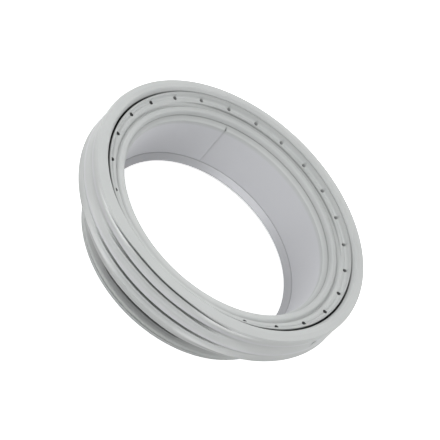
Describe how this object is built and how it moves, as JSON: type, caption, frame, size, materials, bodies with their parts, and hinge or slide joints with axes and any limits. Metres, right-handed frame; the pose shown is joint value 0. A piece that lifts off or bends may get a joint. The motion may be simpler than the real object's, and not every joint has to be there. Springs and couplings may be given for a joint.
{
  "type": "washing machine door seal",
  "caption": "Moulded grey rubber door seal: a flat sealing lip, folded outer wall, slotted inner ring with drain holes, and a tube down to a back flange.",
  "frame": {"origin": "centre of the back flange's seating face, on the axis of the seal", "axes": "+Z along the axis of the seal, from the back flange to the sealing lip; the picture looks down at the -Y side"},
  "size_m": [0.3806, 0.3806, 0.1115],
  "materials": {
    "grey_rubber": "satin"
  },
  "bodies": {
    "root": {"door_seal": "grey_rubber"}
  },
  "joints": []
}
